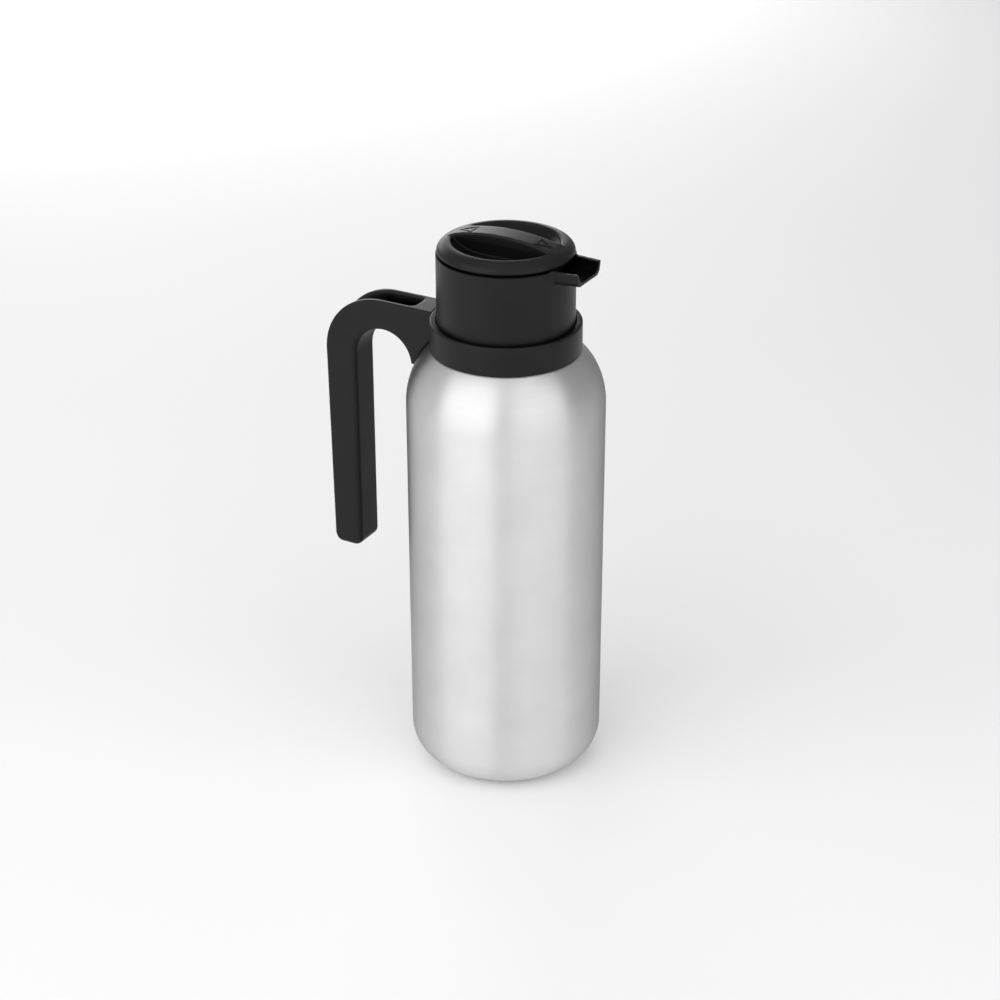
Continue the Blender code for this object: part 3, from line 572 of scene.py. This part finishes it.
SHOULDER_CLEARANCE = 0.3
COLLAR_CLEARANCE = 0.08
SCRIBED_EDGE = 0.8
SCRIBED_FOOT = 150.0

CHANNEL_FLOOR = ARCH_RADIUS + 3.0
CHANNEL_END = -47.4
CHANNEL_FOOT = 112.0
CHANNEL_HALF_WIDTH = 5.7
CHANNEL_CORNER = 2.6
CHANNEL_LIP = 1.3

# Painted shade in the handle's channel, round the bend and on the grip's finger side.
CHANNEL_PAINTED_SHADE = 0.9
CHANNEL_MARGIN = 0.2
CHANNEL_REACH = 0.35
MOUTH_FADE = (2.4, 1.6)
BEND_PAINTED_SHADE = 0.6
BEND_SHADE_END = BEND_CENTRE[0] - 4.0
FINGER_SIDE_PAINTED_SHADE = 0.35
FINGER_SIDE_START = GRIP_INSIDE - 1.6
FINGER_SIDE_TOP = 222.0
FINGER_SIDE_TOP_FADE = 4.0
FINGER_SIDE_MARGIN = 0.4
FINGER_SIDE_FADE = 1.2

HANDLE_GRID = (
    [(-97.5, -34, 0.55)],
    [(-9.6, 9.6, 0.5)],
    [(97.6, 115, 0.55), (115, 188, 3.0), (188, 236, 0.55), (236, 238, 0.4)],
)


def handle_outside():
    """The side view of the arm's top and the grip's outside and foot, left open towards the axis."""
    foot = [(ARM_ROOT, GRIP_BOTTOM), (GRIP_OUTER_FOOT, GRIP_BOTTOM, FOOT_OUTER_CORNER), GRIP_OUTSIDE]
    outline = arc(BEND_CENTRE, (BEND_RADIUS, ARM_TOP - BEND_CENTRE[1]), 180, 90, 40)
    outline += [(ARM_ROOT, ARM_TOP), (ARM_ROOT, GRIP_BOTTOM)]
    return outline + rounded(foot, 8)[1:-1]


def handle_inside():
    """The side view of the finger gap's edge and the grip's foot, left open at the top and the outside."""
    foot = [(GRIP_INSIDE, GRIP_STRAIGHT_TOP), (GRIP_INSIDE, GRIP_BOTTOM, FOOT_INNER_CORNER)]
    foot += [(BEYOND_GRIP, GRIP_BOTTOM)]
    outline = [(BEYOND_GRIP, GRIP_BOTTOM), (BEYOND_GRIP, ABOVE_ARM), (ARM_ROOT, ABOVE_ARM)]
    outline += [(ARM_ROOT, PRONG_HEIGHT)]
    outline += arc(ARCH_CENTRE, (ARCH_RADIUS, ARCH_RADIUS), ARCH_START, 180, 48)
    return outline + rounded(foot, 8)[1:-1]


def channel_outline():
    """The side view of the channel, from its end wall over the bend to its foot, open at the outside."""
    end_angle = math.degrees(math.acos((CHANNEL_END - ARCH_CENTRE[0]) / CHANNEL_FLOOR))
    outline = arc(ARCH_CENTRE, (CHANNEL_FLOOR, CHANNEL_FLOOR), 180, end_angle, 40)
    outline += [(CHANNEL_END, ABOVE_ARM), (BEYOND_GRIP, ABOVE_ARM), (BEYOND_GRIP, CHANNEL_FOOT)]
    return outline + [(ARCH_CENTRE[0] - CHANNEL_FLOOR, CHANNEL_FOOT)]


def root_outline():
    """The shoulder and the collar with a clearance, which the handle's root is scribed to."""
    last = shoulder_angle_at(COLLAR_RADIUS + COLLAR_CLEARANCE, SHOULDER_CLEARANCE)
    edge_centre = (COLLAR_RADIUS - SCRIBED_EDGE, COLLAR_TOP - SCRIBED_EDGE)
    edge = SCRIBED_EDGE + COLLAR_CLEARANCE
    outline = [(AXIS_SIDE, SCRIBED_FOOT), (BODY_RADIUS + SHOULDER_CLEARANCE, SCRIBED_FOOT)]
    outline += shoulder_arc(SHOULDER_CLEARANCE, 0, last, 24)
    outline += arc(edge_centre, (edge, edge), 0, 90, 8)
    return outline + [(AXIS_SIDE, COLLAR_TOP + COLLAR_CLEARANCE)]


def handle_field(x, y, z):
    """The handle: a slab with a rounded finger side, scribed to the bottle, less its channel."""
    outside = extruded(outline_distance(x, z, handle_outside()), y, HANDLE_HALF_WIDTH, OUTER_EDGE)
    inside = extruded(outline_distance(x, z, handle_inside()), y, HANDLE_HALF_WIDTH, FINGER_EDGE)
    body = np.maximum(outside, inside)
    body = smooth_max(body, -outline_distance(np.hypot(x, y), z, root_outline()), ROOT_EDGE)
    channel = extruded(outline_distance(x, z, channel_outline()), y, CHANNEL_HALF_WIDTH, CHANNEL_CORNER)
    return smooth_max(body, -channel, CHANNEL_LIP)


def handle_painted_shade(x, y, z):
    """Painted shade: 0 on the handle's outside, more on the finger side of the grip, and most deep in the
    channel, where shade falls.
    """
    side_view = outline_distance(x, z, channel_outline())
    channel = extruded(side_view, y, CHANNEL_HALF_WIDTH + CHANNEL_MARGIN, CHANNEL_CORNER)
    below_bend = BEND_RADIUS - np.hypot(x - BEND_CENTRE[0], np.maximum(z - BEND_CENTRE[1], 0))
    below_mouth = np.where(x < BEND_CENTRE[0], below_bend, ARM_TOP - z)
    darkest = np.where(x < BEND_SHADE_END, BEND_PAINTED_SHADE, CHANNEL_PAINTED_SHADE)
    in_channel = np.where(channel < CHANNEL_REACH, darkest * fade(below_mouth, *MOUTH_FADE), 0.0)
    finger_side = fade(x, FINGER_SIDE_START, FINGER_SIDE_FADE)
    finger_side = finger_side * fade(FINGER_SIDE_TOP - z, 0.0, FINGER_SIDE_TOP_FADE) * (x < ARCH_CENTRE[0])
    finger_side = finger_side * fade(HANDLE_HALF_WIDTH - np.abs(y), FINGER_SIDE_MARGIN, FINGER_SIDE_FADE)
    return np.maximum(in_channel, FINGER_SIDE_PAINTED_SHADE * finger_side)


def handle_moulding():
    """The handle, meshed finely round its bend, its root and its foot and coarsely along the grip."""
    return field_piece("handle_moulding", handle_field, HANDLE_GRID, BLACK_PLASTIC, handle_painted_shade)


# ---------------------------------------------------------------- pouring head

HEAD_EDGE = 0.4
BELOW_HEAD = 225.0
ABOVE_HEAD = 290.0
NECK_BORE = 31.6
LEDGE_FOOT = 249.7
LEDGE_TOP = 252.0
LEDGE_BORE = 27.3
THREAD_BORE = 29.6
THREAD_TOP = 261.5
LID_BORE = 31.5
LID_BORE_FOOT = 263.0
CAP_CLEARANCE = 0.3
OPEN_TOP = HEAD_TOP + 0.05

SPOUT_FLOOR = 266.2
SPOUT_UNDERSIDE = 264.2
SPOUT_FALL = 0.05
SPOUT_WALL = 2.1
SPOUT_ROOT_HALF_WIDTH = 12.9
SPOUT_TAPER = 0.08
SPOUT_DRAFT = 1.3 / (SPOUT_TOP - SPOUT_UNDERSIDE)
SPOUT_SLANT = 0.98
SPOUT_CORNER = 3.0
SPOUT_EDGE = 0.3
SPOUT_START = 20.0
SPOUT_FILLET = 1.4
TROUGH_START = 28.0
TROUGH_CORNER = 3.5
TROUGH_EDGE = 0.35

# Painted shade in the spout's trough, inside the head and on the head's top edge in the seam under the lid.
TROUGH_REACH = 0.3
TROUGH_FADE = (0.25, 0.4)
HEAD_INSIDE = HEAD_RADIUS - 0.45
HEAD_OUTSIDE = HEAD_RADIUS + 0.05
HEAD_EDGE_FADE = (-0.55, 0.2)

HEAD_GRID = (
    [(-34.2, 27, 0.9), (27, 44.4, 0.45)],
    [(-34.2, -13.5, 0.8), (-13.5, 13.5, 0.45), (13.5, 34.2, 0.8)],
    [(230.8, 233, 0.5), (233, 247, 3.5), (247, 254, 0.7), (254, 259.8, 3.0), (259.8, 272, 0.4)],
)


def spout_sides(x, y, z, narrower):
    """Distance to the spout's two side faces, which taper outwards and lean in towards the bottom."""
    half_width = SPOUT_ROOT_HALF_WIDTH - SPOUT_TAPER * (x - HEAD_RADIUS) - narrower
    return (np.abs(y) - half_width + SPOUT_DRAFT * (SPOUT_TOP - z)) * SPOUT_SLANT


def spout_trough(x, y, z):
    """Distance to the trough, a wall's thickness inside the spout's sides, with rounded corners."""
    return rounded_both(SPOUT_FLOOR - z, spout_sides(x, y, z, SPOUT_WALL), TROUGH_CORNER)


def head_bore():
    """Half the section of the space inside the head, with the ledge over the bottle's mouth."""
    bore = [(AXIS_SIDE, BELOW_HEAD), (NECK_BORE, BELOW_HEAD), (NECK_BORE, LEDGE_FOOT)]
    bore += [(LEDGE_BORE, LEDGE_FOOT), (LEDGE_BORE, LEDGE_TOP), (THREAD_BORE, LEDGE_TOP)]
    bore += [(THREAD_BORE, THREAD_TOP), (LID_BORE, LID_BORE_FOOT), (LID_BORE, OPEN_TOP)]
    bore += [(CAP_RADIUS + CAP_CLEARANCE, OPEN_TOP), (CAP_RADIUS + CAP_CLEARANCE, ABOVE_HEAD)]
    return bore + [(AXIS_SIDE, ABOVE_HEAD)]


def head_field(x, y, z):
    """The head: a barrel and the spout's block, joined by a fillet, less the bore and the trough."""
    radius = np.hypot(x, y)
    barrel = [(AXIS_SIDE, HEAD_LOW[2]), (HEAD_RADIUS, HEAD_LOW[2])]
    barrel += [(HEAD_RADIUS, HEAD_TOP, HEAD_EDGE), (AXIS_SIDE, HEAD_TOP)]
    underside = SPOUT_UNDERSIDE - SPOUT_FALL * (SPOUT_TIP - x) - z
    spout = rounded_both(underside, spout_sides(x, y, z, 0.0), SPOUT_CORNER)
    spout = rounded_both(spout, z - SPOUT_TOP, SPOUT_EDGE)
    spout = rounded_both(spout, x - SPOUT_TIP, SPOUT_EDGE)
    spout = np.maximum(spout, SPOUT_START - x)
    solid = smooth_min(outline_distance(radius, z, rounded(barrel)), spout, SPOUT_FILLET)
    solid = np.maximum(solid, -outline_distance(radius, z, head_bore()))
    return smooth_max(solid, -np.maximum(spout_trough(x, y, z), TROUGH_START - x), TROUGH_EDGE)


def head_painted_shade(x, y, z):
    """Painted shade: 1 in the spout's trough, inside the head and on its top edge under the lid, where
    shade falls, and 0 outside.
    """
    radius = np.hypot(x, y)
    in_trough = (spout_trough(x, y, z) < TROUGH_REACH) & (x > TROUGH_START)
    trough = np.where(in_trough, fade(SPOUT_TOP - z, *TROUGH_FADE), 0.0)
    inside = np.where(radius < HEAD_INSIDE, 1.0, 0.0)
    edge = np.where(radius < HEAD_OUTSIDE, fade(z - HEAD_TOP, *HEAD_EDGE_FADE), 0.0)
    return np.maximum(trough, np.maximum(inside, edge))


def pouring_head():
    """The head, meshed finely round the spout and the top edge and coarsely down the barrel."""
    return field_piece("pouring_head", head_field, HEAD_GRID, BLACK_PLASTIC, head_painted_shade)


# ---------------------------------------------------------------- lid

RIM_TOP = 276.45
RIM_INNER = 26.3
RIM_SWEEP = 84
CAP_EDGE = 0.3
LIP_START = 26.9
LIP_RADIUS = 25.9
LIP_EDGE = 0.55
LIP_FOOT = (25.2, 275.0)
DISH_BOTTOM = 269.5
DISH_EDGE = 25.0
DISH_RADIUS = 24.0
DISH_DEPTH = 4.3
DISH_POWER = 4.74
CAP_UNDERSIDE = 268.0
CAP_UNDERSIDE_RADIUS = 22.9
SKIRT_GROOVE = [(25.0, CAP_FOOT), (26.6, 273.9), (29.0, 273.6), (30.2, CAP_FOOT)]
# Painted shade in the finger recesses and on the rim's underside.
RECESS_PAINTED_SHADE = 0.38
RECESS_REACH = -0.4
RECESS_FADE = (0.3, 0.9)
RIM_UNDERSIDE_START = 26.0
RIM_UNDERSIDE_FADE = (-0.35, 0.3)
LID_GRID = ([(-33.3, 33.3, 0.5)], [(-33.3, 33.3, 0.5)], [(267.2, 281.0, 0.36)])

BAR_ARCH = 3.0
BAR_SPAN = 25.0
BAR_DIP = 0.12
BAR_HALF_WIDTH = 5.9
BAR_SPREAD = 1.2
BAR_SPREAD_START = 18.0
BAR_SPREAD_LENGTH = 8.0
BAR_EDGE = 0.9
BAR_FILLET = 0.9
BAR_REACH = 28.0
BAR_BURIED = [(AXIS_SIDE, 268.7), (20.0, 268.7), (24.0, 272.4), (BAR_REACH, 274.8)]
HOLLOW_HALF_WIDTH = 4.0
HOLLOW_HALF_LENGTH = 19.0
BAR_WALL = 1.9


def dish_height(radius):
    """The bowl that both finger recesses are part of, nearly flat in the middle and steep at its edge."""
    return DISH_BOTTOM + DISH_DEPTH * (radius / DISH_RADIUS) ** DISH_POWER


def lid_profile():
    """Half the lid's section without its bar: underside, rounded rim, inner lip and bowl."""
    rim_foot = CAP_FOOT + CAP_EDGE
    profile = [(AXIS_SIDE, CAP_UNDERSIDE), (CAP_UNDERSIDE_RADIUS, CAP_UNDERSIDE)] + SKIRT_GROOVE
    profile += [(CAP_RADIUS - CAP_EDGE, CAP_FOOT)]
    profile += arc((RIM_INNER, rim_foot), (CAP_RADIUS - RIM_INNER, RIM_TOP - rim_foot), 0, RIM_SWEEP, 28)
    profile += rounded([(LIP_START, RIM_TOP), (LIP_RADIUS, RIM_TOP, LIP_EDGE), LIP_FOOT], 6)[1:]
    profile += [(radius, dish_height(radius)) for radius in np.linspace(DISH_EDGE, 0.0, 26)]
    return profile + [(AXIS_SIDE, DISH_BOTTOM)]


def bar_top(x):
    """Height of the grip bar's arched top, which bends down more steeply past its span."""
    return BAR_TOP - BAR_ARCH * (x / BAR_SPAN) ** 2 - BAR_DIP * np.maximum(np.abs(x) - BAR_SPAN, 0) ** 2


def bar_outline():
    """Half the bar's side view, with its underside buried in the lid."""
    return BAR_BURIED + [(x, bar_top(x)) for x in np.linspace(BAR_REACH, AXIS_SIDE, 34)]


def bar_sides(x, y):
    """Distance to the bar's long sides, which spread where they run into the rim."""
    spread = BAR_SPREAD * fade(np.abs(x), BAR_SPREAD_START, BAR_SPREAD_LENGTH) ** 2
    return np.abs(y) - BAR_HALF_WIDTH - spread


def lid_field(x, y, z):
    """The lid: its turned section and the grip bar, joined by a fillet, with the bar hollow below."""
    bowl = outline_distance(np.hypot(x, y), z, lid_profile())
    bar = rounded_both(outline_distance(np.abs(x), z, bar_outline()), bar_sides(x, y), BAR_EDGE)
    solid = smooth_min(bowl, bar, BAR_FILLET)
    hollow = np.maximum(z - bar_top(x) + BAR_WALL, np.abs(x) - HOLLOW_HALF_LENGTH)
    hollow = np.maximum(np.abs(y) - HOLLOW_HALF_WIDTH, hollow)
    return np.maximum(solid, -hollow)


def lid_painted_shade(x, y, z):
    """Painted shade: part strength deep in the finger recesses, 1 on the rim's underside in the seam, and 0
    on top.
    """
    radius = np.hypot(x, y)
    in_bowl = (radius < LIP_RADIUS) & (bar_sides(x, y) > RECESS_REACH)
    painted_shade = np.where(in_bowl, RECESS_PAINTED_SHADE * fade(RIM_TOP - z, *RECESS_FADE), 0.0)
    underside = fade(CAP_FOOT - z, *RIM_UNDERSIDE_FADE) * (radius > RIM_UNDERSIDE_START)
    return np.maximum(painted_shade, underside)


def lid_cap():
    """The lid's top moulding with its rim, its two finger recesses and its grip bar."""
    return field_piece("lid_cap", lid_field, LID_GRID, BLACK_PLASTIC, lid_painted_shade)


ARROW_BASE = 16.6
ARROW_TIP = 24.4
ARROW_HALF_WIDTH = 4.2
ARROW_LINE = 0.6
ARROW_HEIGHT = 0.28
ARROW_SINK = -0.5
ARROW_STEPS = 10


def arrow_ring(corners, side, lift):
    """A triangle's points, a few along each side, laid on the bar's top and lifted."""
    ring = []
    for start, end in zip(corners, np.roll(corners, -1, axis=0)):
        ring += [start + (end - start) * i / ARROW_STEPS for i in range(ARROW_STEPS)]
    ring = np.array(ring)
    return np.column_stack([side * ring[:, 0], side * ring[:, 1], bar_top(ring[:, 0]) + lift])


def lid_arrow(name, side):
    """A raised triangle outline on the bar's top that points out along the spout's line."""
    outer = np.array([(ARROW_BASE, -ARROW_HALF_WIDTH), (ARROW_TIP, 0.0), (ARROW_BASE, ARROW_HALF_WIDTH)])
    middle = outer.mean(axis=0)
    inner = middle + (outer - middle) * (1 - ARROW_LINE * 2.0 / ARROW_HALF_WIDTH)
    rings = [arrow_ring(outer, side, ARROW_SINK), arrow_ring(outer, side, ARROW_HEIGHT)]
    rings += [arrow_ring(inner, side, ARROW_HEIGHT), arrow_ring(inner, side, ARROW_SINK)]
    count = len(rings[0])
    faces = []
    for r in range(4):
        for i in range(count):
            j, q = (i + 1) % count, (r + 1) % 4
            faces.append((r * count + i, r * count + j, q * count + j, q * count + i))
    return add_piece(name, np.concatenate(rings), faces, BLACK_PLASTIC, smooth_angle=30)


# ---------------------------------------------------------------- placing


def place(piece, body, slot, *nodes):
    """A piece tied to the CAD body it moves with, with the CAD nodes it stands for hidden. slot, the name
    of a material slot, is not used.
    """
    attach(piece, body)
    if nodes:
        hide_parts(*nodes)


place(bottle_shell(), "bottle", "body_steel", "outer_shell")
place(foot_pad(), "bottle", "silicone", "base_pad")
place(collar_ring(), "bottle", "black_plastic", "collar")
place(handle_moulding(), "bottle", "black_plastic", "handle")
place(pouring_head(), "bottle", "black_plastic", "spout_head")
place(lid_cap(), "knob", "black_plastic", "knob_cap")
place(lid_arrow("arrow_front", 1), "knob", "black_plastic")
place(lid_arrow("arrow_back", -1), "knob", "black_plastic")

KEPT_NODES = {
    "inner_liner": INNER_STEEL,
    "liner_bottom": INNER_STEEL,
    "base_plate": INNER_STEEL,
    "radiation_foil": FOIL,
    "getter_pill": GETTER,
    "vacuum_seal_button": SCREW_STEEL,
    "handle_screw_left": SCREW_STEEL,
    "handle_screw_right": SCREW_STEEL,
    "stem_screw": SCREW_STEEL,
    "retaining_clip": SCREW_STEEL,
    "mouth_gasket": SILICONE,
    "insert_seal": SILICONE,
    "valve_seal": SILICONE,
    "stopper_insert": INNER_PLASTIC,
    "drive_stem": INNER_PLASTIC,
    "valve_plunger": INNER_PLASTIC,
    "seal_retainer": INNER_PLASTIC,
    # The knob plate takes the black plastic that is painted darker as shade.
    "knob_plate": SHADED_BLACK_PLASTIC,
    "insulation_puck": FOAM,
}
for node, surface in KEPT_NODES.items():
    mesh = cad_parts[node].data
    mesh.materials.clear()
    mesh.materials.append(surface)

# ---------------------------------------------------------------- studio

FLOOR_HALF_SIZE = 6000.0
FLOOR_SHADES = (0.96, 0.96, 0.96), (0.97, 0.97, 0.97)
WORLD_STRENGTH = 0.35
LIGHT_TARGET = Vector((0, 0, 0.14))
SOFT_BOXES = {
    "key_box": (-17, 25, 1.6, (2.1, 1.8), 16.8),
    "left_box": (-78, 25, 1.6, (1.3, 1.8), 2.0),
    "right_box": (68, 25, 1.6, (2.1, 1.8), 11.4),
    "top_box": (29, 85, 1.5, (1.6, 1.6), 6.0),
    "back_box": (222, 13, 1.8, (1.4, 0.5), 9.0),
}

CAMERA_TARGET = Vector((0, 0, 0.1412))
CAMERA_AZIMUTH = 29.0
CAMERA_ELEVATION = 27.03
CAMERA_DISTANCE = 1.1131
CAMERA_SENSOR = 36.0
CAMERA_LENS = 81.66
CAMERA_SHIFT = -0.006


def studio_floor():
    """A pale floor that runs past the edges of the picture."""
    made, nodes, links = new_material("pale_floor")
    shader = nodes["Principled BSDF"]
    shader.inputs["Roughness"].default_value = 0.9
    shader.inputs["Specular IOR Level"].default_value = 0.1
    cloud = noise(nodes, links, texture_space(nodes, links, UNIFORM), 4.0)
    links.new(tinted(nodes, links, cloud, *FLOOR_SHADES), shader.inputs["Base Color"])
    corners = ((-1, -1), (1, -1), (1, 1), (-1, 1))
    points = [(FLOOR_HALF_SIZE * x, FLOOR_HALF_SIZE * y, 0) for x, y in corners]
    floor = add_piece("studio_floor", points, [(0, 1, 2, 3)], made)


def direction(azimuth, elevation):
    """A unit vector from angles in degrees; azimuth 0 points to -Y and 90 to +X."""
    a, e = math.radians(azimuth), math.radians(elevation)
    return Vector((math.sin(a) * math.cos(e), -math.cos(a) * math.cos(e), math.sin(e)))


def area_light(name, azimuth, elevation, distance, size, power):
    """A soft box aimed at the bottle's middle; distance and size are in metres and power in watts."""
    data = bpy.data.lights.new(name, "AREA")
    data.shape = "RECTANGLE"
    data.size, data.size_y = size
    data.energy = power
    lamp = bpy.data.objects.new(name, data)
    bpy.context.scene.collection.objects.link(lamp)
    towards = direction(azimuth, elevation)
    lamp.location = towards * distance + LIGHT_TARGET
    lamp.rotation_euler = towards.to_track_quat("Z", "Y").to_euler()


def studio_light():
    """An even white surround and the soft boxes."""
    world = bpy.data.worlds.new("studio")
    bpy.context.scene.world = world
    world.use_nodes = True
    background = world.node_tree.nodes["Background"]
    background.inputs["Color"].default_value = (1.0, 1.0, 1.0, 1.0)
    background.inputs["Strength"].default_value = WORLD_STRENGTH
    for name, settings in SOFT_BOXES.items():
        area_light(name, *settings)


def camera():
    """The camera in front, a little to the spout's side, looking down at the bottle's middle."""
    data = bpy.data.cameras.new("camera")
    data.sensor_width = CAMERA_SENSOR
    data.lens = CAMERA_LENS
    data.shift_x = CAMERA_SHIFT
    made = bpy.data.objects.new("camera", data)
    bpy.context.scene.collection.objects.link(made)
    back = direction(CAMERA_AZIMUTH, CAMERA_ELEVATION)
    made.location = CAMERA_TARGET + back * CAMERA_DISTANCE
    made.rotation_mode = "QUATERNION"
    made.rotation_quaternion = (-back).to_track_quat("-Z", "Y")
    bpy.context.scene.camera = made


camera()
studio_floor()
studio_light()
bpy.context.scene.view_settings.view_transform = "Standard"
